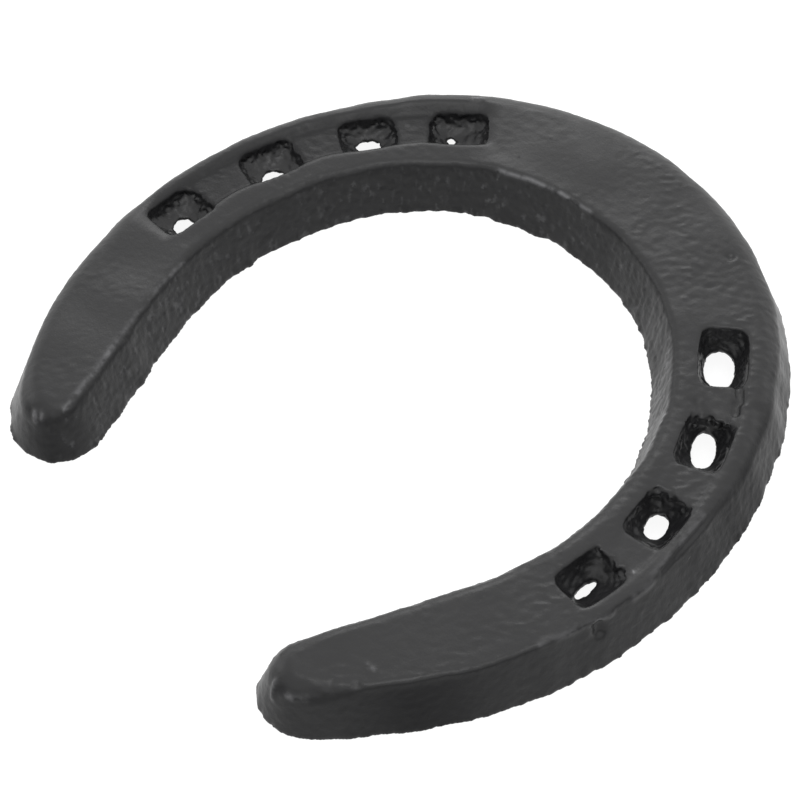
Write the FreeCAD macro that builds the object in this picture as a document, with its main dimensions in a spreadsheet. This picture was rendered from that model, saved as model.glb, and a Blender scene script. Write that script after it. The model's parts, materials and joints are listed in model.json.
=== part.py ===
import FreeCAD, Part
import math
import os
import Sketcher
from FreeCAD import Vector

# Cast-iron horseshoe lying on its hoof face, fullered ground face up.
# +Y points to the toe, the branches run back to the heels at -Y, +X is the right branch.
# The origin is the middle of the box round the casting, on the surface it lies on.
os.makedirs("parts", exist_ok=True)
doc = FreeCAD.newDocument("Horseshoe")

# ---------------------------------------------------------------- driving dimensions (mm, degrees)
DIMENSIONS = [
    ("height", 10.8),
    ("draft_angle", 18.5),
    ("edge_radius", 1.2),
    ("outer_toe_y", 65.2),
    ("outer_toe_radius", 58.9),
    ("outer_toe_turn", 49.9),
    ("outer_side_radius", 78.7),
    ("outer_side_turn", 44.1),
    ("outer_quarter_radius", 79.6),
    ("outer_quarter_turn", 30.6),
    ("right_branch_straight", 6.2),
    ("left_branch_straight", 2.5),
    ("heel_radius", 27.5),
    ("heel_turn", 21.5),
    ("inner_toe_y", 38.9),
    ("inner_toe_radius", 39.8),
    ("inner_toe_turn", 64.8),
    ("inner_side_radius", 53.5),
    ("inner_side_turn", 45.9),
    ("nail_line_x", 12.8),
    ("nail_line_y", -8.2),
    ("nail_line_radius", 66.0),
    ("nail_right_1", -1.2),
    ("nail_right_2", 12.3),
    ("nail_right_3", 27.7),
    ("nail_right_4", 43.2),
    ("nail_left_1", -3.7),
    ("nail_left_2", 13.4),
    ("nail_left_3", 29.6),
    ("nail_left_4", 44.2),
    ("pocket_width", 8.8),
    ("pocket_length", 11.0),
    ("pocket_corner", 1.6),
    ("pocket_taper", 15.0),
    ("fuller_width", 7.4),
    ("fuller_depth", 1.1),
    ("relief_width", 12.8),
    ("relief_depth", 6.0),
    ("relief_taper", 8.0),
    ("relief_overrun", 6.0),
]
sizes = doc.addObject("Spreadsheet::Sheet", "Sizes")
for row, (alias, value) in enumerate(DIMENSIONS, start=1):
    sizes.set(f"A{row}", alias)
    sizes.set(f"B{row}", str(value))
    sizes.setAlias(f"B{row}", alias)
doc.recompute()
size = {alias: float(sizes.get(alias)) for alias, value in DIMENSIONS}

body = doc.addObject("PartDesign::Body", "Casting")
body.Label = "horseshoe_casting"
body.Placement = FreeCAD.Placement()
doc.recompute()
base_plane = next(f for f in body.Origin.OriginFeatures if f.Role == "XY_Plane")

Y_AXIS = -2
ORIGIN = (-1, 1)


def new_sketch(name, level=None):
    """A sketch on the hoof face, or raised to the level that an expression gives."""
    sketch = body.newObject("Sketcher::SketchObject", name)
    sketch.AttachmentSupport = [(base_plane, "")]
    sketch.MapMode = "FlatFace"
    if level is not None:
        sketch.setExpression(".AttachmentOffset.Base.z", level)
    return sketch


def drive(sketch, constraint, name, expression):
    """Adds a sketch constraint and binds it to the sheet."""
    index = sketch.addConstraint(constraint)
    sketch.renameConstraint(index, name)
    sketch.setExpression(f"Constraints.{name}", expression)


def polar(centre, radius, degrees):
    angle = math.radians(degrees)
    return centre + Vector(math.cos(angle), math.sin(angle), 0) * radius


def add_arc(sketch, centre, radius, start, end, side=1):
    """An arc given by its polar angles on the right branch, mirrored when side is -1."""
    if side < 0:
        centre = Vector(-centre.x, centre.y, 0)
        start, end = 180 - end, 180 - start
    circle = Part.Circle(centre, Vector(0, 0, 1), radius)
    return sketch.addGeometry(Part.ArcOfCircle(circle, math.radians(start), math.radians(end)))


# ---------------------------------------------------------------- the shoe's outline on the hoof face
class Run:
    """Walks tangent arcs clockwise from the toe down one branch and remembers where it is."""

    def __init__(self, toe_y):
        self.point = Vector(0, toe_y, 0)
        self.normal = 90.0

    def arc(self, radius, turn):
        centre = polar(self.point, -radius, self.normal)
        first = self.normal
        self.normal -= turn
        self.point = polar(centre, radius, self.normal)
        return centre, radius, self.normal, first

    def straight(self, length):
        start = self.point
        self.point = polar(start, length, self.normal - 90)
        return start, self.point


def join(sketch, first, second):
    """Tangent joint between two (geometry, end) pairs."""
    sketch.addConstraint(Sketcher.Constraint("Tangent", *first, *second))


def add_line(sketch, start, end, side):
    ends = [Vector(side * p.x, p.y, 0) for p in (start, end)]
    return sketch.addGeometry(Part.LineSegment(*ends))


def toe_arc(sketch, face):
    """The toe's arc, centred on the shoe's middle line."""
    radius = size[f"{face}_toe_radius"]
    turn = size[f"{face}_toe_turn"]
    centre = Vector(0, size[f"{face}_toe_y"] - radius, 0)
    arc = add_arc(sketch, centre, radius, 90 - turn, 90 + turn)
    sketch.addConstraint(Sketcher.Constraint("PointOnObject", arc, 3, Y_AXIS))
    sketch.addConstraint(Sketcher.Constraint("Symmetric", arc, 1, arc, 2, Y_AXIS))
    drive(sketch, Sketcher.Constraint("Radius", arc, radius), f"{face}_toe_radius",
          f"Sizes.{face}_toe_radius")
    drive(sketch, Sketcher.Constraint("Angle", arc, math.radians(2 * turn)), f"{face}_toe_turn",
          f"Sizes.{face}_toe_turn * 2 deg")
    drive(sketch, Sketcher.Constraint("DistanceY", *ORIGIN, arc, 3, centre.y), f"{face}_toe_centre",
          f"Sizes.{face}_toe_y - Sizes.{face}_toe_radius")
    return arc


def side_arc(sketch, run, name, side):
    """One arc of a branch, its radius and turn bound to the sheet."""
    arc = add_arc(sketch, *run.arc(size[f"{name}_radius"], size[f"{name}_turn"]), side)
    hand = "right" if side > 0 else "left"
    radius = Sketcher.Constraint("Radius", arc, size[f"{name}_radius"])
    turn = Sketcher.Constraint("Angle", arc, math.radians(size[f"{name}_turn"]))
    drive(sketch, radius, f"{hand}_{name}_radius", f"Sizes.{name}_radius")
    drive(sketch, turn, f"{hand}_{name}_turn", f"Sizes.{name}_turn * 1 deg")
    return arc


def branch_outline(sketch, side, outer_toe, inner_toe):
    """One branch: three outer arcs, a straight quarter, the heel and its round tip, and the inner edge."""
    hand = "right" if side > 0 else "left"
    near, far = (2, 1) if side > 0 else (1, 2)
    outer = Run(size["outer_toe_y"])
    outer.arc(size["outer_toe_radius"], size["outer_toe_turn"])
    side_edge = side_arc(sketch, outer, "outer_side", side)
    quarter = side_arc(sketch, outer, "outer_quarter", side)
    straight_length = size[f"{hand}_branch_straight"]
    straight = add_line(sketch, *outer.straight(straight_length), side)
    heel = side_arc(sketch, outer, "heel", side)

    inner = Run(size["inner_toe_y"])
    inner.arc(size["inner_toe_radius"], size["inner_toe_turn"])
    inner_side = side_arc(sketch, inner, "inner_side", side)

    # the tip touches the heel's end and the straight inner edge
    outward = polar(Vector(), 1, inner.normal)
    heel_normal = polar(Vector(), 1, outer.normal)
    tip_radius = (outer.point - inner.point).dot(outward) / (1 + heel_normal.dot(outward))
    tip_centre = outer.point - heel_normal * tip_radius
    inner_end = tip_centre - outward * tip_radius
    tip = add_arc(sketch, tip_centre, tip_radius, inner.normal - 180, outer.normal, side)
    inner_edge = add_line(sketch, inner.point, inner_end, side)

    join(sketch, (outer_toe, far), (side_edge, near))
    join(sketch, (side_edge, far), (quarter, near))
    join(sketch, (quarter, far), (straight, 1))
    join(sketch, (straight, 2), (heel, near))
    join(sketch, (heel, far), (tip, near))
    join(sketch, (inner_toe, far), (inner_side, near))
    join(sketch, (inner_side, far), (inner_edge, 1))
    join(sketch, (inner_edge, 2), (tip, far))
    drive(sketch, Sketcher.Constraint("Distance", straight, straight_length), f"{hand}_straight",
          f"Sizes.{hand}_branch_straight")


outline = new_sketch("Outline")
outer_toe_arc = toe_arc(outline, "outer")
inner_toe_arc = toe_arc(outline, "inner")
for branch_side in (1, -1):
    branch_outline(outline, branch_side, outer_toe_arc, inner_toe_arc)
doc.recompute()

# ---------------------------------------------------------------- drafted slab with rounded top edges
slab = body.newObject("PartDesign::Pad", "Slab")
slab.Profile = outline
slab.setExpression("Length", "Sizes.height")
slab.setExpression("TaperAngle", "-Sizes.draft_angle * 1 deg")
doc.recompute()


def edges_at(shape, level):
    names = []
    for number, edge in enumerate(shape.Edges, start=1):
        if all(abs(vertex.Z - level) < 1e-4 for vertex in edge.Vertexes):
            names.append(f"Edge{number}")
    return names


rim = body.newObject("PartDesign::Fillet", "RoundedRim")
rim.Base = (slab, edges_at(slab.Shape, size["height"]))
rim.setExpression("Radius", "Sizes.edge_radius")
doc.recompute()


# ---------------------------------------------------------------- bands that follow the nail line
def nail_band(name, side, width, overrun, level):
    """A curved slot along one branch's nail line, with rounded ends past the first and last nails."""
    hand = "right" if side > 0 else "left"
    sketch = new_sketch(name, level)
    centre = Vector(size["nail_line_x"] * -side, size["nail_line_y"], 0)
    radius = size["nail_line_radius"]
    half = size[width] / 2
    first = size[f"nail_{hand}_1"] - math.degrees(size[overrun] / radius)
    last = size[f"nail_{hand}_4"] + math.degrees(size[overrun] / radius)
    if side < 0:
        first, last = 180 - last, 180 - first
    arcs = []
    for arc_radius in (radius + half, radius - half):
        circle = Part.Circle(centre, Vector(0, 0, 1), arc_radius)
        arcs.append(sketch.addGeometry(Part.ArcOfCircle(circle, math.radians(first), math.radians(last))))
    outer_edge, inner_edge = arcs
    for angle, turn, end in ((first, 180, 1), (last, 0, 2)):
        circle = Part.Circle(polar(centre, radius, angle), Vector(0, 0, 1), half)
        start = math.radians(angle + turn)
        cap = sketch.addGeometry(Part.ArcOfCircle(circle, start, start + math.pi))
        join(sketch, (outer_edge, end), (cap, 2 if end == 1 else 1))
        join(sketch, (inner_edge, end), (cap, 1 if end == 1 else 2))
    sketch.addConstraint(Sketcher.Constraint("Coincident", outer_edge, 3, inner_edge, 3))
    drive(sketch, Sketcher.Constraint("DistanceX", *ORIGIN, outer_edge, 3, centre.x), "line_x",
          f"Sizes.nail_line_x * {-side}")
    drive(sketch, Sketcher.Constraint("DistanceY", *ORIGIN, outer_edge, 3, centre.y), "line_y",
          "Sizes.nail_line_y")
    drive(sketch, Sketcher.Constraint("Radius", outer_edge, radius + half), "outer_radius",
          f"Sizes.nail_line_radius + Sizes.{width} / 2")
    drive(sketch, Sketcher.Constraint("Radius", inner_edge, radius - half), "inner_radius",
          f"Sizes.nail_line_radius - Sizes.{width} / 2")
    drive(sketch, Sketcher.Constraint("Angle", outer_edge, math.radians(last - first)), "span",
          f"(Sizes.nail_{hand}_4 - Sizes.nail_{hand}_1) * 1 deg"
          f" + Sizes.{overrun} / Sizes.nail_line_radius * 360 / pi * 1 deg")
    return sketch


def cut(name, sketch, depth, taper=None, upward=False):
    """A pocket that is checked to have taken metal away."""
    before = body.Tip.Shape.Volume
    pocket = body.newObject("PartDesign::Pocket", name)
    pocket.Profile = sketch
    pocket.Reversed = upward
    pocket.setExpression("Length", depth)
    if taper is not None:
        pocket.setExpression("TaperAngle", taper)
    doc.recompute()
    if not pocket.Shape.Volume < before - 1:
        raise RuntimeError(f"{name} removed no metal")
    return pocket


HANDS = {"Right": 1, "Left": -1}
for hand_name, hand_side in HANDS.items():
    band = nail_band(f"FullerBand{hand_name}", hand_side, "fuller_width", "fuller_depth", "Sizes.height")
    cut(f"Fuller{hand_name}", band, "Sizes.fuller_depth")
    band = nail_band(f"ReliefBand{hand_name}", hand_side, "relief_width", "relief_overrun", None)
    cut(f"Relief{hand_name}", band, "Sizes.relief_depth", "-Sizes.relief_taper * 1 deg", upward=True)


# ---------------------------------------------------------------- tapered nail pockets
def nail_pocket(hand_name, side, number):
    """A rounded rectangle across the nail line, tapering down through the web into the relief."""
    angle = f"Sizes.nail_{hand_name.lower()}_{number} * 1 deg"
    sketch = new_sketch(f"Nail{hand_name}{number}", "Sizes.height")
    base = ".AttachmentOffset.Base"
    sketch.setExpression(f"{base}.x",
                         f"(Sizes.nail_line_radius * cos({angle}) - Sizes.nail_line_x) * {side}")
    sketch.setExpression(f"{base}.y", f"Sizes.nail_line_y + Sizes.nail_line_radius * sin({angle})")
    sketch.setExpression(".AttachmentOffset.Rotation.Angle", f"{angle} * {side}")
    half_width = size["pocket_width"] / 2
    half_length = size["pocket_length"] / 2
    corner = size["pocket_corner"]
    x, y = half_width - corner, half_length - corner
    edges = []
    for quadrant, (cx, cy) in enumerate(((x, y), (-x, y), (-x, -y), (x, -y))):
        circle = Part.Circle(Vector(cx, cy, 0), Vector(0, 0, 1), corner)
        start = quadrant * math.pi / 2
        edges.append(sketch.addGeometry(Part.ArcOfCircle(circle, start, start + math.pi / 2)))
    straights = (((x, half_length), (-x, half_length)), ((-half_width, y), (-half_width, -y)),
                 ((-x, -half_length), (x, -half_length)), ((half_width, -y), (half_width, y)))
    for index, (start, end) in enumerate(straights):
        line = sketch.addGeometry(Part.LineSegment(Vector(*start, 0), Vector(*end, 0)))
        join(sketch, (edges[index], 2), (line, 1))
        join(sketch, (line, 2), (edges[(index + 1) % 4], 1))
        direction = "Horizontal" if index % 2 == 0 else "Vertical"
        sketch.addConstraint(Sketcher.Constraint(direction, line))
    sketch.addConstraint(Sketcher.Constraint("Symmetric", edges[0], 3, edges[2], 3, *ORIGIN))
    for other in edges[1:3]:
        sketch.addConstraint(Sketcher.Constraint("Equal", edges[0], other))
    drive(sketch, Sketcher.Constraint("Radius", edges[0], corner), "corner", "Sizes.pocket_corner")
    drive(sketch, Sketcher.Constraint("DistanceX", edges[1], 3, edges[0], 3, 2 * x), "core_width",
          "Sizes.pocket_width - 2 * Sizes.pocket_corner")
    drive(sketch, Sketcher.Constraint("DistanceY", edges[3], 3, edges[0], 3, 2 * y), "core_length",
          "Sizes.pocket_length - 2 * Sizes.pocket_corner")
    cut(f"Pocket{hand_name}{number}", sketch, "Sizes.height - Sizes.relief_depth + 0.5",
        "-Sizes.pocket_taper * 1 deg")


for hand_name, hand_side in HANDS.items():
    for nail_number in range(1, 5):
        nail_pocket(hand_name, hand_side, nail_number)
doc.recompute()

# ---------------------------------------------------------------- checks and the STEP file
for item in doc.Objects:
    if "Invalid" in item.State or "Error" in item.State:
        raise RuntimeError(f"{item.Label} failed: {item.State}")
shape = body.Shape
if shape.isNull() or not shape.isValid() or len(shape.Solids) != 1:
    raise RuntimeError("the casting is not one valid solid")
box = shape.BoundBox
print("casting", [round(v, 2) for v in (box.XMin, box.XMax, box.YMin, box.YMax, box.ZMin, box.ZMax)],
      "volume", round(shape.Volume, 1))
shape.exportStep(f"parts/{body.Label}.step")
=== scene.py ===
import json
import math
import bmesh
import bpy
import numpy as np
import openvdb
from mathutils import Matrix, Vector


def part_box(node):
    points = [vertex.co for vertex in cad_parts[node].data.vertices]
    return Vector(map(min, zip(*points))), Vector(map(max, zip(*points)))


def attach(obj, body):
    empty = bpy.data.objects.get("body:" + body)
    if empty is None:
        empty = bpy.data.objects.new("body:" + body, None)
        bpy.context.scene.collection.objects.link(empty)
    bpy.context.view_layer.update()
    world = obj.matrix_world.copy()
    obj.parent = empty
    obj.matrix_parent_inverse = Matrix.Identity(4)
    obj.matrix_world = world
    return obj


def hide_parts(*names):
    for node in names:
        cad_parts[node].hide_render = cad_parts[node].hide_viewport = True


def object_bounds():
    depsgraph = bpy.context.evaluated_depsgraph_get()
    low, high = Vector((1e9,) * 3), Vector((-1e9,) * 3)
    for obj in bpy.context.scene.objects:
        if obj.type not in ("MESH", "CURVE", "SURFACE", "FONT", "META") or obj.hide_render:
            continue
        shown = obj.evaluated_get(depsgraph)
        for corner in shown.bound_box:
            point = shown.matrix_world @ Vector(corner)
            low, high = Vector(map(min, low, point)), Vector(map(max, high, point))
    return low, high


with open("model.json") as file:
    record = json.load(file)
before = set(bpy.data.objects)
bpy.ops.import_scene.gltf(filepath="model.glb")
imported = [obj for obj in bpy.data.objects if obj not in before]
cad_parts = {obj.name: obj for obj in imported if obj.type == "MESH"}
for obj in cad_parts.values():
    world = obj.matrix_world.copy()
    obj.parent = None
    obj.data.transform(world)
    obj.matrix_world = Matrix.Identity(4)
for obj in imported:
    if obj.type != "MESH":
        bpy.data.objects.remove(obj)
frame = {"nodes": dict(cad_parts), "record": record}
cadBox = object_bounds()
node = "horseshoe_casting"
low, high = (np.array(corner) * 1000 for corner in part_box(node))  # the shape is worked out in millimetres
height = high[2]
print("frame loaded, shoe box", low.round(2), high.round(2))

# what a user would change about the casting's shape, in mm; turns are degrees from the toe to the heel
casting = {
    "pitch": 0.4,  # spacing of the grid that the casting is built on
    "faces": 194000,
    "draft": 18.5,                        # degrees that the walls lean in
    "turnCentre": -20.0,                  # where on the middle line the turns are measured from
    "margin": 1.6, "webBlend": 2.0, "handBlend": 6.0,
    "outerLeftRadius": ((0, 3.2), (60, 3.2), (100, 2.6), (128, 2.0)),
    "outerRightRadius": ((0, 3.2), (45, 2.8), (66, 1.0), (78, 0.5), (128, 0.6)),
    "heelRadius": 4.0, "heelStart": -51, "heelEnd": -63,  # both heels end as blunt as a thumb
    "innerLeftRadius": ((0, 0.9), (50, 1.0), (90, 1.2), (128, 1.3)),
    "innerRightRadius": ((0, 0.9), (35, 1.2), (60, 1.8), (128, 1.8)),
    "footRadius": 0.45,
    "fullness": 0.17, "softFrom": 1.2,    # how far the wall bulges where the top edge is soft
    "wobble": 0.10, "wobbleSize": 11,     # slow unevenness of the walls
    "flash": 0.12, "flashSize": 3.4, "flashHeight": 1.2,  # ragged parting line round the foot
    "teeth": 0.17, "teethSize": 1.2, "teethElsewhere": 0.25,  # the same where the mould was scraped
    "scrapedAcross": (20, 34), "scrapedAlong": (-10, 5),      # inside the right branch, fading in over these
}
surface = {
    "settle": 0.1,                        # how far the ground face lies under the box's top
    "wave": 0.09, "waveSize": 18,
    "ripple": 0.016, "roughRipple": 0.028, "rippleSize": 1.15, "rippleLength": 2.6,
    "patchSize": 20, "patchRange": (-0.9, 1.8),
    "toePatch": {"place": (22, 40), "size": (26, 22), "strength": 1.2},
    "rippleTurn": 50,                     # degrees from +X that the wrinkles run along
    "leftRipple": 0.6, "leftFade": (-12, 6),  # how much of the ripple the left branch carries
    "wallLump": 0.024, "lumpSize": 1.5,
    "streak": 0.035, "streakSize": 0.9,   # scratches down the inner wall, from drawing the pattern
    # how much lighter the paint is in streaks down the inner walls, more inside the right branch: a painted
    # highlight standing in for the walls' glossy reflections
    "streakHighlight": 0.13, "scrapeHighlight": 0.5,
}
fuller = {
    "left": {"inner": 4.2, "lip": 0.8, "swell": 1.5, "depth": 1.5, "outer": 3.4, "fade": 3.6,
             "fall": 0.35, "dull": 0.4},
    "right": {"inner": 4.2, "lip": 2.6, "swell": 0.4, "depth": 0.4, "outer": 3.7, "fade": 1.2,
              "fall": 0.0, "dull": 0.0},
    "endStart": 1.0, "endRun": 7.0, "swellArea": 40, "fallRange": (0.8, 5.0),
}
pocket = {
    "halfWidth": 4.2, "halfLength": 5.3, "taper": 0.4, "webUnder": 5.2, "leastDepth": 2, "reach": 10,
    "webTop": {"left": 6.0, "right": 6.4}, "funnel": {"left": 3.4, "right": 2.0},
    "squareness": 5.0, "roundness": 2.2,  # the mouth is nearly square and the web hole nearly round
    "lump": {"left": 0.26, "right": 0.15}, "lumpSize": 0.9, "lumpFrom": 0.35, "lumpFade": 0.4,
    "rag": 0.34, "ragSize": 1.3, "ragRange": (1, 4.5), "lip": 0.3, "under": 1.5,
}
relief = {"halfWidth": 6.4, "taper": 8.0, "overrun": 6.0, "roofRadius": 1.0, "edgeRadius": 0.4}

# where each nail hole broke through its web: offset outwards and toewards, half sizes, turn in degrees
breakthrough = {
    "nail_hole_right_1": (-0.8, -1.6, 0.9, 2.5, 5),
    "nail_hole_right_2": (-0.6, 0.6, 1.9, 2.8, 10),
    "nail_hole_right_3": (-0.3, 1.0, 2.1, 4.0, 10),
    "nail_hole_right_4": (-0.5, 0.9, 2.7, 4.2, 0),
    "nail_hole_left_1": (-0.8, -0.1, 2.1, 2.0, 15),
    "nail_hole_left_2": (-1.0, -0.1, 1.9, 2.2, 0),
    "nail_hole_left_3": (0.5, 0.2, 1.4, 2.3, 0),
    "nail_hole_left_4": (0.4, -1.4, 0.9, 0.8, 0),
}
# how far each pocket's mouth strays: shift outwards and toewards, extra half sizes, ragged toe side
mouths = {
    "nail_hole_right_1": (-0.1, -1.3, 0.0, 0.0, 1.0), "nail_hole_right_2": (0.0, -0.3, 0.0, 0.1, 0.8),
    "nail_hole_right_3": (0.0, -0.2, 0.1, 0.3, 1.0), "nail_hole_right_4": (0.0, 0.5, 0.1, 0.9, 0.2),
    "nail_hole_left_1": (0.0, 0.0, 0.0, 0.0, 0.6), "nail_hole_left_2": (0.0, 0.2, 0.0, 0.1, 0.5),
    "nail_hole_left_3": (0.45, 0.2, -0.45, 0.0, 0.4), "nail_hole_left_4": (0.2, 0.0, -0.2, 0.1, 0.3),
}

# knocks and mould marks: the line they follow, half width, height (a groove is below nought), and how much
# lighter the paint is, partly paint worn off and partly a painted highlight along beads and edges
marks = {
    "crack": (((41.7, 34.5, 10.2), (43.6, 32.8, 10.4), (43.5, 32.0, 10.2), (44.8, 30.5, 10.2)),
              0.55, -1.8, 0),
    "notchByThird": (((39.2, 27.1, 10.4), (40.4, 26.6, 10.4), (41.7, 26.1, 10.2)), 0.9, -1.0, 0),
    "edgeCrease": (((56.4, 17.5, 10.4), (57.6, 11.5, 10.5), (58.9, 4.8, 10.4), (59.9, -1.2, 10.2)),
                   0.4, -0.75, 0),
    "edgeLip": (((56.6, 11.5, 10.7), (58.0, 4.8, 10.7), (59.0, -1.2, 10.5), (59.4, -3.0, 10.3)),
                0.4, 0.22, 0.2),
    "edgeStep": (((60.0, -3.7, 9.9), (60.2, -5.8, 9.8), (60.3, -7.8, 9.8)), 0.6, 0.45, 0.25),
    "edgeNotch": (((60.0, -15.5, 8.9), (60.3, -15.7, 7.4)), 0.9, -1.3, 0),
    "raggedEdge": (((60.1, -12.6, 9.6), (59.8, -15.0, 9.8), (59.1, -17.6, 10.2), (58.7, -19.8, 10.2),
                    (58.1, -22.4, 10.3), (57.4, -24.4, 10.4), (57.2, -26.0, 10.4)), 0.5, 0.4, 0.3),
    "outerHollow": (((47.0, 34.0, 10.4), (52.3, 29.5, 10.4), (57.0, 20.0, 10.2)), 1.1, -0.35, 0),
    "speck": (((56.8, -4.7, 10.6), (57.0, -4.8, 10.6)), 0.3, 0.3, 1),
    "pit": (((20.0, 53.4, 10.7), (20.2, 53.6, 10.7)), 0.5, -0.9, 0),
    "toeChip": (((-37.9, 44.2, 10.7), (-36.8, 45.5, 10.7)), 0.4, 0.5, 1),
    "heelDent": (((-35.3, -58.5, 10.3), (-35.0, -58.1, 10.4)), 0.6, -1.0, 0),
    "heelScarLeft": (((-35.3, -59.1, 9.3), (-34.3, -59.4, 7.9)), 0.5, 0.45, 0.4),
    "heelScarMiddle": (((-34.2, -58.5, 10.1), (-33.4, -58.7, 8.8)), 0.5, 0.45, 0.4),
    "heelRidge": (((33.2, -62.2, 8.9), (34.1, -63.3, 5.9)), 0.5, 0.5, 0.3),
    "heelMark": (((36.5, -62.0, 8.2), (37.4, -61.5, 7.9), (38.9, -60.2, 8.3)), 0.5, 0.45, 0.4),
    "heelPit": (((43.2, -53.4, 10.7), (43.4, -53.1, 10.7)), 0.45, -0.8, 0),
    "heelLump": (((41.7, -49.6, 10.8), (43.1, -49.3, 10.8)), 0.4, 0.25, 0.2),
    "toeBead": (((-22.2, 36.3, 10.3), (-16.7, 39.1, 10.4), (-10.9, 41.1, 10.4), (-4.1, 42.2, 10.3)),
                0.45, 0.15, 0.4),
    "innerBead": (((-31.4, -55.7, 10.2), (-33.0, -50.5, 10.4), (-34.2, -46.8, 10.4), (-36.9, -39.6, 10.4)),
                  0.5, 0.2, 0.45),
    "innerBeadMiddle": (((-36.9, -39.6, 10.4), (-39.7, -32.5, 10.4), (-41.7, -26.5, 10.4),
                         (-43.3, -19.4, 10.3)),
                        0.45, 0.15, 0.25),
}


# where the paint on the outer walls has gone dull: place, spread and how much shine is lost
dullSpots = (((51.0, -46.0), 11.0, 0.5), ((56.0, 22.0), 22.0, 0.6), ((-30.5, -58.5), 4.0, 0.45))
markReach = 3  # mm round a mark's line that it can change


def outlineOfNode(name):
    # the shoe's outline on the hoof face, cut from a merged copy of the CAD mesh
    mesh = bmesh.new()
    mesh.from_mesh(frame["nodes"][name].data)
    bmesh.ops.remove_doubles(mesh, verts=mesh.verts, dist=1e-6)
    everything = mesh.verts[:] + mesh.edges[:] + mesh.faces[:]
    level = (low[2] + 0.05) / 1000
    cut = bmesh.ops.bisect_plane(mesh, geom=everything, plane_co=(0, 0, level), plane_no=(0, 0, 1))
    cutEdges = {part for part in cut["geom_cut"] if isinstance(part, bmesh.types.BMEdge)}
    loops = []
    while cutEdges:
        loop = list(cutEdges.pop().verts)
        while True:
            following = [edge for edge in loop[-1].link_edges if edge in cutEdges]
            if not following:
                break
            cutEdges.discard(following[0])
            loop.append(following[0].other_vert(loop[-1]))
        loops.append(np.array([vertex.co.xy[:] for vertex in loop[:-1]]) * 1000)
    mesh.free()
    return max(loops, key=lambda points: np.ptp(points[:, 0]))


def gapToLine(points, start, run):
    # distance from each point to the nearest of the straight pieces
    along = np.clip(((points - start) * run).sum(-1) / (run * run).sum(-1), 0, 1)
    gap = points - start - along[..., None] * run
    return np.sqrt((gap * gap).sum(-1).min(1))


def signedDistance(points, outline):
    # plan distance to the outline, negative inside
    run = np.roll(outline, -1, axis=0) - outline
    perY = np.divide(run[:, 0], run[:, 1], out=np.zeros(len(run)), where=run[:, 1] != 0)
    result = np.empty(len(points))
    for first in range(0, len(points), 4000):
        part = points[first:first + 4000, None, :]
        crosses = (outline[:, 1] > part[..., 1]) != (outline[:, 1] + run[:, 1] > part[..., 1])
        before = part[..., 0] < perY * (part[..., 1] - outline[:, 1]) + outline[:, 0]
        inside = (crosses & before).sum(1) % 2 == 1
        gap = gapToLine(part, outline, run)
        result[first:first + 4000] = np.where(inside, -gap, gap)
    return result


def grain(shape, size, seed):
    # smooth random field whose lumps are about size mm across, with a standard deviation of 1
    noise = np.random.default_rng(seed).standard_normal(shape).astype(np.float32)
    power = 0
    for axis, count in enumerate(shape):
        waves = np.fft.rfftfreq if axis == len(shape) - 1 else np.fft.fftfreq
        line = [1] * len(shape)
        line[axis] = -1
        power = power + (waves(count, casting["pitch"]) * size).reshape(line) ** 2
    field = np.fft.irfftn(np.fft.rfftn(noise) * np.sqrt(power) * np.exp(-power * 1.2), s=shape)
    return (field / field.std()).astype(np.float32)


def wrinkles(shape, size, length, degrees, seed):
    # the same in plan, but drawn out to the length along one direction
    noise = np.random.default_rng(seed).standard_normal(shape)
    perX = np.fft.fftfreq(shape[0], casting["pitch"])[:, None]
    perY = np.fft.rfftfreq(shape[1], casting["pitch"])[None, :]
    c, s = math.cos(math.radians(degrees)), math.sin(math.radians(degrees))
    power = ((perX * c + perY * s) * length) ** 2 + ((perY * c - perX * s) * size) ** 2
    field = np.fft.irfft2(np.fft.rfft2(noise) * np.sqrt(power) * np.exp(-power * 1.2), s=shape)
    return field / field.std()


def smoothStep(start, end, value):
    t = np.clip((value - start) / (end - start), 0, 1)
    return t * t * (3 - 2 * t)


def meet(a, b, radius):
    # where two faces meet, with the edge rounded to the radius
    rounded = np.hypot(np.maximum(a + radius, 0), np.maximum(b + radius, 0))
    return np.minimum(np.maximum(a, b), -radius) + rounded


margin = casting["margin"]
axes = [np.arange(low[i] - margin, high[i] + margin, casting["pitch"]) for i in range(3)]
gridX, gridY = np.meshgrid(axes[0], axes[1], indexing="ij")
gridZ = axes[2][None, None, :]
outline = outlineOfNode(node)
plan = signedDistance(np.c_[gridX.ravel(), gridY.ravel()], outline).reshape(gridX.shape)
print("outline of", len(outline), "points, grid of", [len(axis) for axis in axes])

# how far round from the toe each point is, and whether it is on the outer half of the web
turn = np.degrees(np.arctan2(np.abs(gridX), gridY - casting["turnCentre"]))
looped = np.r_[outline, outline[:1]]
runs = np.r_[0, np.cumsum(np.hypot(*np.diff(looped, axis=0).T))]
edgeX, edgeY = (np.interp(np.arange(0, runs[-1], 0.5), runs, looped[:, i]) for i in (0, 1))
outlineTurn = np.degrees(np.arctan2(np.abs(edgeX), edgeY - casting["turnCentre"]))
outlineReach = np.hypot(edgeX, edgeY - casting["turnCentre"])
turns = np.arange(0, 142, 2.0)
reaches = [outlineReach[np.abs(outlineTurn - t) < 4] for t in turns]
webMiddle = np.interp(turn, turns, [(r.min() + r.max()) / 2 for r in reaches])
outside = smoothStep(-casting["webBlend"], casting["webBlend"],
                     np.hypot(gridX, gridY - casting["turnCentre"]) - webMiddle)
rightward = smoothStep(-casting["handBlend"], casting["handBlend"], gridX)


def byTurn(name):
    return np.interp(turn, *zip(*casting[name]))


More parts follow.
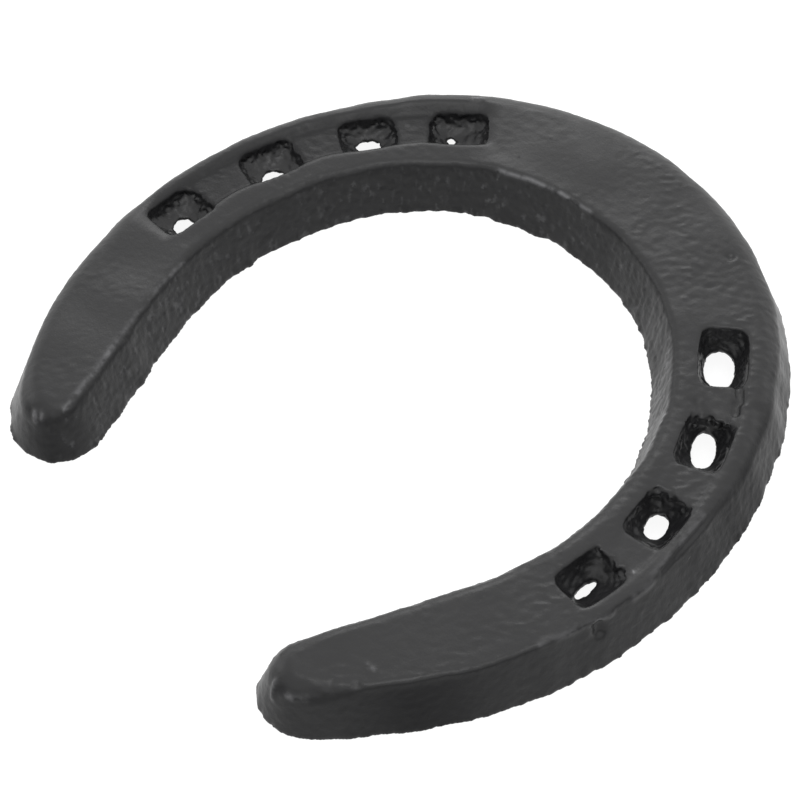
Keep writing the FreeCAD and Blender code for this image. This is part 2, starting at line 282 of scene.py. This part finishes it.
outerRadius = byTurn("outerLeftRadius") * (1 - rightward) + byTurn("outerRightRadius") * rightward
innerRadius = byTurn("innerLeftRadius") * (1 - rightward) + byTurn("innerRightRadius") * rightward
edgeRadius = innerRadius + (outerRadius - innerRadius) * outside
atHeel = smoothStep(casting["heelStart"], casting["heelEnd"], gridY)
edgeRadius = edgeRadius + (casting["heelRadius"] - edgeRadius) * atHeel

# the nails' places and the curved line they stand on, from the record's mounts
mounts = frame["record"]["mounts"]
nails = {m["name"]: np.array(m["pos_m"][:2]) * 1000 for m in mounts if m["kind"] == "other"}


def nailLine(hand):
    a, b, c = (nails[f"nail_hole_{hand}_{n}"] for n in (1, 3, 4))
    centre = np.linalg.solve(2 * np.array([b - a, c - a]), [b @ b - a @ a, c @ c - a @ a])
    return centre, np.linalg.norm(a - centre)


# ground face: slow waves, patches of ripple from the sand, and the two shallow fullers
(toeX, toeY), (wideX, wideY) = surface["toePatch"]["place"], surface["toePatch"]["size"]
toePatch = np.exp(-(((gridX - toeX) / wideX) ** 2 + ((gridY - toeY) / wideY) ** 2))
patch = smoothStep(*surface["patchRange"],
                   grain(gridX.shape, surface["patchSize"], 11) + surface["toePatch"]["strength"] * toePatch)
ripple = wrinkles(gridX.shape, surface["rippleSize"], surface["rippleLength"], surface["rippleTurn"], 12)
top = height - surface["settle"] + surface["wave"] * grain(gridX.shape, surface["waveSize"], 13)
rippled = surface["leftRipple"] + (1 - surface["leftRipple"]) * smoothStep(*surface["leftFade"], gridX)
top += rippled * (surface["ripple"] + surface["roughRipple"] * patch) * ripple
reliefPlan = np.full(gridX.shape, 99.0)
dullPlan = np.zeros(gridX.shape)
for hand, side in (("right", 1), ("left", -1)):
    shape = fuller[hand]
    centre, radius = nailLine(hand)
    across = np.hypot(gridX - centre[0], gridY - centre[1]) - radius
    angle = np.arctan2(gridY - centre[1], (gridX - centre[0]) * side)
    ends = [nails[f"nail_hole_{hand}_{n}"] - centre for n in (1, 4)]
    first, last = (np.arctan2(end[1], end[0] * side) for end in ends)
    past = (np.clip(first - angle, 0, np.pi) + np.clip(angle - last, 0, np.pi)) * radius
    near = [nails[f"nail_hole_{hand}_{n}"] for n in (1, 2, 3, 4)]
    swell = sum(np.exp(-((gridX - spot[0]) ** 2 + (gridY - spot[1]) ** 2) / fuller["swellArea"])
                for spot in near)
    lip = across + shape["inner"] - shape["swell"] * (1 - np.clip(swell, 0, 1))
    floorOf = smoothStep(-shape["lip"], shape["lip"], lip)
    floorOf = floorOf * (1 - smoothStep(0, shape["fade"], across - shape["outer"]))
    onBranch = gridX * side > 0
    ending = 1 - smoothStep(fuller["endStart"], fuller["endStart"] + fuller["endRun"], past)
    sunk = shape["depth"] * floorOf + shape["fall"] * smoothStep(*fuller["fallRange"], -lip)
    top -= np.where(onBranch, sunk * ending, 0)
    dullPlan = np.where(onBranch, shape["dull"] * floorOf * ending, dullPlan)
    channel = np.hypot(across, np.maximum(past - relief["overrun"], 0)) - relief["halfWidth"]
    reliefPlan = np.where(onBranch, channel, reliefPlan)

# walls with their draft, a slow wobble and the ragged flash round the foot
lean = math.radians(casting["draft"])
full = tuple(len(axis) for axis in axes)
inRight = smoothStep(*casting["scrapedAcross"], gridX) * (1 - outside)
inRight = inRight * smoothStep(*casting["scrapedAlong"], gridY)
foot = np.exp(-np.maximum(gridZ, 0) / casting["flashHeight"])
teeth = casting["teeth"] * (casting["teethElsewhere"] + inRight)
teeth = teeth * grain(gridX.shape, casting["teethSize"], 16)
ragged = casting["flash"] * grain(gridX.shape, casting["flashSize"], 14) + teeth
fullness = casting["fullness"] * np.maximum(edgeRadius - casting["softFrom"], 0) * outside * (1 - atHeel)
wall = (plan - fullness)[..., None] + np.maximum(gridZ, 0) * math.tan(lean) + foot * ragged[..., None]
wall = (wall + casting["wobble"] * grain(gridX.shape, casting["wobbleSize"], 15)[..., None]) * math.cos(lean)
streak = grain(gridX.shape, surface["streakSize"], 18)
wall = wall + surface["wallLump"] * grain(full, surface["lumpSize"], 17)
wall = wall + (surface["streak"] * streak * (1 - outside))[..., None]
solid = meet(wall, gridZ - top[..., None], edgeRadius[..., None])
solid = meet(solid, -gridZ + 0 * solid, casting["footRadius"])
reliefWall = reliefPlan[..., None] + np.maximum(gridZ, 0) * math.tan(math.radians(relief["taper"]))
channelled = meet(reliefWall, gridZ - pocket["webUnder"], relief["roofRadius"])
solid = meet(solid, -channelled, relief["edgeRadius"]).astype(np.float32)

# nail pockets: square-mouthed, lumpy, and broken through a thin web in a ragged oval
for seed, (name, spot) in enumerate(sorted(nails.items())):
    hand = "right" if "right" in name else "left"
    side = 1 if hand == "right" else -1
    centre = nailLine(hand)[0]
    out = (spot - centre) / np.linalg.norm(spot - centre)
    toe = np.array([-out[1], out[0]]) * side
    ix, iy = (slice(*np.searchsorted(axes[i], (spot[i] - pocket["reach"], spot[i] + pocket["reach"])))
              for i in (0, 1))
    dx, dy = gridX[ix, iy, None] - spot[0], gridY[ix, iy, None] - spot[1]
    u, v = dx * out[0] + dy * out[1], dx * toe[0] + dy * toe[1]  # mm outwards and toewards of the nail
    block = solid[ix, iy]
    offU, offV, halfU, halfV, tilt = breakthrough[name]
    mouth = top[ix, iy, None]
    down = np.clip((mouth - gridZ) / np.maximum(mouth - pocket["webTop"][hand], pocket["leastDepth"]), 0, 1)
    ease = down ** pocket["funnel"][hand]
    shiftU, shiftV, extraU, extraV, ragged = mouths[name]
    rag = ragged * pocket["rag"] * smoothStep(*pocket["ragRange"], v) * (1 - down)
    rag = rag * grain(block.shape, pocket["ragSize"], 200 + seed)
    u, v = u - shiftU - (offU - shiftU) * ease, v - shiftV - (offV - shiftV) * ease
    angle = math.radians(tilt) * ease
    u, v = u * np.cos(angle) + v * np.sin(angle), v * np.cos(angle) - u * np.sin(angle)
    mouthU, mouthV = pocket["halfWidth"] + extraU, pocket["halfLength"] + extraV
    wide = mouthU + (halfU - mouthU) * ease - pocket["taper"] * down * (1 - ease)
    long = mouthV + (halfV - mouthV) * ease - pocket["taper"] * down * (1 - ease)
    power = pocket["squareness"] + (pocket["roundness"] - pocket["squareness"]) * ease
    ring = ((np.abs(u) / wide) ** power + (np.abs(v) / long) ** power) ** (1 / power)
    lump = pocket["lump"][hand] * smoothStep(0, pocket["lumpFrom"], down) * (1 - pocket["lumpFade"] * ease)
    lump = lump * grain(block.shape, pocket["lumpSize"], 100 + seed)
    reach = np.hypot(u, v)
    hole = reach - reach / np.maximum(ring, 1e-4) + lump + rag
    hole = np.maximum(hole, pocket["webUnder"] - pocket["under"] - gridZ)
    solid[ix, iy] = meet(block, -hole, pocket["lip"])

# knocks and mould marks, pressed into or raised from the skin
for line, halfWidth, rise, _ in marks.values():
    line = np.array(line)
    ix, iy = (slice(*np.searchsorted(axes[i], (line[:, i].min() - markReach, line[:, i].max() + markReach)))
              for i in (0, 1))
    block = solid[ix, iy]
    at = [np.broadcast_to(part, block.shape).ravel()
          for part in (gridX[ix, iy, None], gridY[ix, iy, None], gridZ)]
    gap = gapToLine(np.stack(at, axis=-1)[:, None, :], line[:-1], np.diff(line, axis=0)).reshape(block.shape)
    solid[ix, iy] = block - rise * np.exp(-(gap / halfWidth) ** 2)
print("solid field ready")


def largestPart(points, quads):
    # the casting alone: tiny voids that the grain leaves inside the pockets' walls are dropped
    label = np.arange(len(points))
    while True:
        joined = label.copy()
        np.minimum.at(joined, quads.ravel(), np.repeat(label[quads].min(1), 4))
        joined = joined[joined]
        if (joined == label).all():
            break
        label = joined
    kept = label == np.bincount(label).argmax()
    return points[kept], (np.cumsum(kept) - 1)[quads[kept[quads[:, 0]]]]


def meshFromField(name, field):
    grid = openvdb.FloatGrid()
    grid.copyFromArray(np.ascontiguousarray(field, dtype=np.float32))
    points, quads = largestPart(*grid.convertToQuads(0.0))
    points = (points * casting["pitch"] + np.array([axis[0] for axis in axes])) / 1000
    mesh = bpy.data.meshes.new(name)
    mesh.vertices.add(len(points))
    mesh.vertices.foreach_set("co", points.astype(np.float32).ravel())
    mesh.loops.add(quads.size)
    mesh.loops.foreach_set("vertex_index", quads.astype(np.int32).ravel())
    mesh.polygons.add(len(quads))
    mesh.polygons.foreach_set("loop_start", np.arange(0, quads.size, 4, dtype=np.int32))
    mesh.update(calc_edges=True)
    return mesh


def bake(thing):
    # turn the modifiers' result into the object's own plain mesh
    solved = thing.evaluated_get(bpy.context.evaluated_depsgraph_get())
    thing.data = bpy.data.meshes.new_from_object(solved)
    thing.modifiers.clear()


def addNode(tree, kind, settings=None, links=None, values=None):
    # one node with its settings, the sockets linked into it and its own input values
    made = tree.nodes.new(kind)
    for key, value in (settings or {}).items():
        setattr(made, key, value)
    for key, value in (values or {}).items():
        made.inputs[key].default_value = value
    for key, socket in (links or {}).items():
        tree.links.new(socket, made.inputs[key])
    return made


def srgb(code):
    parts = [int(code[i:i + 2], 16) / 255 for i in (1, 3, 5)]
    return (*[p / 12.92 if p <= 0.04045 else ((p + 0.055) / 1.055) ** 2.4 for p in parts], 1)


shoe = bpy.data.objects.new("horseshoe_skin", meshFromField("horseshoe_skin", solid))
bpy.context.collection.objects.link(shoe)
thin = shoe.modifiers.new("thin", "DECIMATE")
thin.ratio = min(1, casting["faces"] / (2 * len(shoe.data.polygons)))
bake(shoe)
print("cast skin of", len(shoe.data.polygons), "faces")

# stove paint over sand-cast iron: nearly black with a soft satin shine, the sand's grain still in the film
# the lighter paint colour stands both for paint rubbed off the iron and for painted highlight lines and
# streaks
paint = {"colour": "#111112", "wornAndHighlight": "#757577", "rough": 0.38, "roughSpread": 0.07, "specular": 0.27,
         "sandSize": 0.7, "sandHeight": 0.045, "wearAndHighlightSize": 2.4, "cloudSize": 6}


def satinPaintOnCastIron():
    material = bpy.data.materials.new("satinPaintOnCastIron")
    material.use_nodes = True
    tree = material.node_tree
    tree.nodes.clear()
    place = addNode(tree, "ShaderNodeTexCoord").outputs["Object"]
    sand = addNode(tree, "ShaderNodeTexNoise", links={"Vector": place},
                   values={"Scale": 1000 / paint["sandSize"], "Detail": 3, "Roughness": 0.6}).outputs[0]
    bump = addNode(tree, "ShaderNodeBump", links={"Height": sand},
                   values={"Distance": paint["sandHeight"] / 1000}).outputs[0]
    cloud = addNode(tree, "ShaderNodeTexNoise", links={"Vector": place},
                    values={"Scale": 1000 / paint["cloudSize"], "Detail": 4}).outputs[0]
    gloss = addNode(tree, "ShaderNodeMapRange", links={"Value": cloud},
                    values={"From Min": 0.3, "From Max": 0.7,
                            "To Min": paint["rough"] - paint["roughSpread"],
                            "To Max": paint["rough"] + paint["roughSpread"]}).outputs[0]
    # lighter paint where the attribute is high: partly paint worn off, partly painted highlight lines and
    # streaks standing in for glints; noise breaks it into patches
    wornAndHighlight = addNode(tree, "ShaderNodeAttribute", {"attribute_name": "wornAndHighlight"}).outputs["Fac"]
    patches = addNode(tree, "ShaderNodeTexNoise", links={"Vector": place},
                      values={"Scale": 1000 / paint["wearAndHighlightSize"], "Detail": 3}).outputs[0]
    broken = addNode(tree, "ShaderNodeMapRange", {}, {"Value": patches},
                     {"From Min": 0.4, "From Max": 0.6, "To Min": 0.1, "To Max": 1.0}).outputs[0]
    rubbedAndHighlight = addNode(tree, "ShaderNodeMath", {"operation": "MULTIPLY"}, {0: wornAndHighlight, 1: broken}).outputs[0]
    colour = addNode(tree, "ShaderNodeMix", {"data_type": "RGBA"}, {0: rubbedAndHighlight},
                     {6: srgb(paint["colour"]), 7: srgb(paint["wornAndHighlight"])}).outputs[2]
    dull = addNode(tree, "ShaderNodeAttribute", {"attribute_name": "dull"}).outputs["Fac"]
    shine = addNode(tree, "ShaderNodeMapRange", links={"Value": dull},
                    values={"To Min": paint["specular"], "To Max": 0.0}).outputs[0]
    shader = addNode(tree, "ShaderNodeBsdfPrincipled",
                     links={"Normal": bump, "Roughness": gloss, "Base Color": colour,
                            "Specular IOR Level": shine})
    addNode(tree, "ShaderNodeOutputMaterial", links={"Surface": shader.outputs[0]})
    return material


# sand grain left standing on the skin, in mm; coarse is a map of how much of it each place carries
skin = {"Grain size": 1.2, "Grain height": 0.10, "Fine size": 0.7, "Fine height": 0.05, "Seed": 4.0}


def castSkin():
    tree = bpy.data.node_groups.new("castSkin", "GeometryNodeTree")
    tree.interface.new_socket(name="Geometry", in_out="INPUT", socket_type="NodeSocketGeometry")
    for name in skin:
        tree.interface.new_socket(name=name, in_out="INPUT", socket_type="NodeSocketFloat")
    tree.interface.new_socket(name="Material", in_out="INPUT", socket_type="NodeSocketMaterial")
    tree.interface.new_socket(name="Geometry", in_out="OUTPUT", socket_type="NodeSocketGeometry")
    given = addNode(tree, "NodeGroupInput").outputs

    def maths(operation, a, b=1000.0):
        made = addNode(tree, "ShaderNodeMath", {"operation": operation})
        for socket, value in zip(made.inputs, (a, b)):
            if isinstance(value, float):
                socket.default_value = value
            else:
                tree.links.new(value, socket)
        return made.outputs[0]

    place = addNode(tree, "GeometryNodeInputPosition").outputs[0]
    coarse = addNode(tree, "GeometryNodeInputNamedAttribute", {"data_type": "FLOAT"},
                     values={"Name": "coarse"}).outputs[0]
    rise = 0.0
    for kind in ("Grain", "Fine"):
        scale = maths("DIVIDE", 1000.0, given[kind + " size"])
        noise = addNode(tree, "ShaderNodeTexNoise", {"noise_dimensions": "4D"},
                        {"Vector": place, "W": given["Seed"], "Scale": scale},
                        {"Detail": 2.0, "Roughness": 0.55}).outputs[0]
        swing = maths("SUBTRACT", 0.5, noise)
        rise = maths("ADD", rise, maths("MULTIPLY", swing, maths("DIVIDE", given[kind + " height"])))
    normal = addNode(tree, "GeometryNodeInputNormal").outputs[0]
    offset = addNode(tree, "ShaderNodeVectorMath", {"operation": "SCALE"},
                     {"Vector": normal, "Scale": maths("MULTIPLY", rise, coarse)}).outputs[0]
    moved = addNode(tree, "GeometryNodeSetPosition", links={"Geometry": given["Geometry"], "Offset": offset})
    real = addNode(tree, "GeometryNodeRealizeInstances", links={"Geometry": moved.outputs[0]})
    painted = addNode(tree, "GeometryNodeSetMaterial",
                      links={"Geometry": real.outputs[0], "Material": given["Material"]})
    addNode(tree, "NodeGroupOutput", links={"Geometry": painted.outputs[0]})
    return tree


# how much grain each place carries: pockets most, walls next, ground face in patches, heels' tops least
cover = {
    "wallFrom": (0.5, 2.0), "pocketFrom": (0.4, 1.2), "pocketReach": 7,       # mm below the ground face
    "face": 0.4, "facePatch": 0.5, "wall": 1.0, "innerWall": 0.6, "pocket": 1.2,
    "smoothHeel": 0.8, "heelAlong": (-15, -40), "heelAcross": (20, 30),
    # which inner-wall streaks carry the painted highlight, and how far the lighter paint spreads round a
    # mark's line, as wear and as painted highlight
    "streakRange": (0.6, 2.2), "wearAndHighlightWidth": 0.9,
}
points = np.empty(3 * len(shoe.data.vertices), np.float32)
shoe.data.vertices.foreach_get("co", points)
points = points.reshape(-1, 3) * 1000
steps = [np.rint((points[:, i] - axes[i][0]) / casting["pitch"]).astype(int) for i in (0, 1)]
cells = tuple(np.clip(step, 0, len(axis) - 1) for step, axis in zip(steps, axes))
below = top[cells] - points[:, 2]
onWall = smoothStep(*cover["wallFrom"], below)
inPocket = np.zeros(len(points))
for spot in nails.values():
    isNear = np.hypot(*(points[:, :2] - spot).T) < cover["pocketReach"]
    inPocket = np.maximum(inPocket, smoothStep(*cover["pocketFrom"], below) * isNear)
smoothHeel = smoothStep(*cover["heelAlong"], points[:, 1]) * smoothStep(*cover["heelAcross"], points[:, 0])
inner = 1 - outside[cells]
onEachWall = onWall * (cover["wall"] - cover["smoothHeel"] * smoothHeel + cover["innerWall"] * inner)
coarse = np.maximum(cover["face"] + cover["facePatch"] * patch[cells], onEachWall)
coarse = coarse + cover["pocket"] * inPocket
# painted highlight: lighter paint in the streaks down the inner walls, strongest inside the right branch
wallHighlight = surface["streakHighlight"] + surface["scrapeHighlight"] * inRight[cells]
wornAndHighlight = wallHighlight * inner * onWall * (1 - inPocket) * smoothStep(*cover["streakRange"], streak[cells])
# lighter paint along the marks: paint worn off the knocks and scars, and painted highlight lines along the
# beads and edges
for line, halfWidth, _, wearAndHighlight in marks.values():
    line = np.array(line)
    near = np.nonzero(((points > line.min(0) - markReach) & (points < line.max(0) + markReach)).all(1))[0]
    if wearAndHighlight and len(near):
        gap = gapToLine(points[near][:, None, :], line[:-1], np.diff(line, axis=0))
        wornAndHighlight[near] = np.maximum(wornAndHighlight[near], wearAndHighlight * np.exp(-(gap / (cover["wearAndHighlightWidth"] * halfWidth)) ** 2))
dull = dullPlan[cells] * (1 - inPocket)
outward = np.maximum(1 - inner, atHeel[cells])
for spot, spread, strength in dullSpots:
    gap = np.hypot(points[:, 0] - spot[0], points[:, 1] - spot[1])
    dull = np.maximum(dull, strength * onWall * outward * np.exp(-(gap / spread) ** 2))
for name, values in (("coarse", coarse), ("wornAndHighlight", wornAndHighlight), ("dull", dull)):
    shoe.data.attributes.new(name, "FLOAT", "POINT").data.foreach_set("value", values.astype(np.float32))

skinTree = castSkin()
modifier = shoe.modifiers.new("castSkin", "NODES")
modifier.node_group = skinTree
for item in skinTree.interface.items_tree:
    if item.in_out == "INPUT" and item.name in skin:
        modifier[item.identifier] = skin[item.name]
    if item.in_out == "INPUT" and item.name == "Material":
        modifier[item.identifier] = satinPaintOnCastIron()
bake(shoe)
shoe.data.shade_smooth()
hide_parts(node)
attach(shoe, "root")
print("skin with its sand grain:", len(shoe.data.polygons), "faces")

# plain pale floor that glows so that nothing on it is in shade, and falls off well in front of the heels
floorLook = {"half": 4.0, "colour": "#707070", "glow": 0.92, "falls": (0.10, 0.17), "edge": 0.25,
             "towards": (0.45, -0.89, 0)}
half = floorLook["half"]
floorMesh = bpy.data.meshes.new("floor")
corners = [(-half, -half), (half, -half), (half, half), (-half, half)]
floorMesh.from_pydata([(x, y, cadBox[0][2]) for x, y in corners], [], [(0, 1, 2, 3)])
floor = bpy.data.objects.new("floor", floorMesh)
bpy.context.collection.objects.link(floor)
floorPaint = bpy.data.materials.new("paleFloor")
floorPaint.use_nodes = True
tree = floorPaint.node_tree
floorInputs = tree.nodes["Principled BSDF"].inputs
floorInputs["Base Color"].default_value = srgb(floorLook["colour"])
floorInputs["Specular IOR Level"].default_value = 0.0
floorInputs["Emission Color"].default_value = (1, 1, 1, 1)
where = addNode(tree, "ShaderNodeTexCoord").outputs["Object"]
inFront = addNode(tree, "ShaderNodeVectorMath", {"operation": "DOT_PRODUCT"}, {0: where},
                  {1: floorLook["towards"]}).outputs["Value"]
glow = addNode(tree, "ShaderNodeMapRange", {"interpolation_type": "SMOOTHSTEP"}, {"Value": inFront},
               {"From Min": floorLook["falls"][0], "From Max": floorLook["falls"][1],
                "To Min": floorLook["glow"], "To Max": floorLook["edge"]})
tree.links.new(glow.outputs[0], floorInputs["Emission Strength"])
floorMesh.materials.append(floorPaint)
print("floor laid")

# camera: high three-quarter view from beyond the right heel
view = {"azimuth": 49.784, "elevation": 53.797, "roll": -0.886, "distance": 0.55773,
        "target": (0.00182, -0.00803, 0.00474), "lens": 144.66}
azimuth, elevation, roll = (math.radians(view[key]) for key in ("azimuth", "elevation", "roll"))
level = Vector((math.cos(azimuth), math.sin(azimuth), 0))
ahead = Vector((-math.sin(azimuth), math.cos(azimuth), 0)) * math.cos(elevation)
ahead -= Vector((0, 0, math.sin(elevation)))
upward = level.cross(ahead)
rolledLevel = level * math.cos(roll) + upward * math.sin(roll)
rolledUp = upward * math.cos(roll) - level * math.sin(roll)
camera = bpy.data.objects.new("camera", bpy.data.cameras.new("camera"))
bpy.context.collection.objects.link(camera)
place = Vector(view["target"]) - ahead * view["distance"]
aimed = Matrix((rolledLevel, rolledUp, -ahead)).transposed().to_4x4()
camera.matrix_world = Matrix.Translation(place) @ aimed
camera.data.lens = view["lens"]
camera.data.sensor_width = 36
camera.data.clip_start = 0.01
bpy.context.scene.camera = camera

# soft studio lights: where each stands, its size in metres and its power in watts
lights = {
    "overhead": ((0.17, -0.13, 1.1), 0.5, 3.0),
    "back": ((-0.85, 0.75, 0.75), 0.5, 3.0),
    "left": ((-0.9, -0.6, 0.35), 0.5, 0.8),
}
for name, (spot, size, power) in lights.items():
    lamp = bpy.data.objects.new(name, bpy.data.lights.new(name, "AREA"))
    bpy.context.collection.objects.link(lamp)
    lamp.location = spot
    lamp.rotation_euler = (-Vector(spot)).to_track_quat("-Z", "Y").to_euler()
    lamp.data.size = size
    lamp.data.energy = power
# the studio's pale walls: dimmer low down, except at the back
studio = {"bright": 1.9, "dim": 0.35, "from": 0.0, "to": 0.6, "back": 0.9, "above": 0.96,
          "behind": 1.03, "behindFrom": 0.65}
world = bpy.data.worlds.new("studio")
world.use_nodes = True
tree = world.node_tree
where = addNode(tree, "ShaderNodeTexCoord").outputs["Generated"]
rise = addNode(tree, "ShaderNodeSeparateXYZ", links={0: where}).outputs["Z"]
behind = addNode(tree, "ShaderNodeVectorMath", {"operation": "DOT_PRODUCT"}, {0: where},
                 {1: (-math.sin(azimuth), math.cos(azimuth), 0)}).outputs["Value"]
backward = addNode(tree, "ShaderNodeMath", {"operation": "MULTIPLY", "use_clamp": True}, {0: behind},
                   {1: studio["back"]}).outputs[0]
reach = addNode(tree, "ShaderNodeMath", {"operation": "ADD"}, {0: rise, 1: backward}).outputs[0]
dimmed = addNode(tree, "ShaderNodeMapRange", {"interpolation_type": "SMOOTHSTEP"}, {"Value": reach},
                 {"From Min": studio["from"], "From Max": studio["to"],
                  "To Min": studio["dim"], "To Max": studio["bright"]})
slope = addNode(tree, "ShaderNodeMapRange", links={"Value": behind},
                values={"From Min": 0.0, "From Max": studio["behindFrom"],
                        "To Min": studio["above"], "To Max": studio["behind"]})
walls = addNode(tree, "ShaderNodeMath", {"operation": "MULTIPLY"},
                {0: dimmed.outputs[0], 1: slope.outputs[0]})
background = tree.nodes["Background"]
background.inputs["Color"].default_value = (1, 1, 1, 1)
tree.links.new(walls.outputs[0], background.inputs["Strength"])
bpy.context.scene.world = world
bpy.context.scene.view_settings.view_transform = "Standard"

print("camera and studio set")
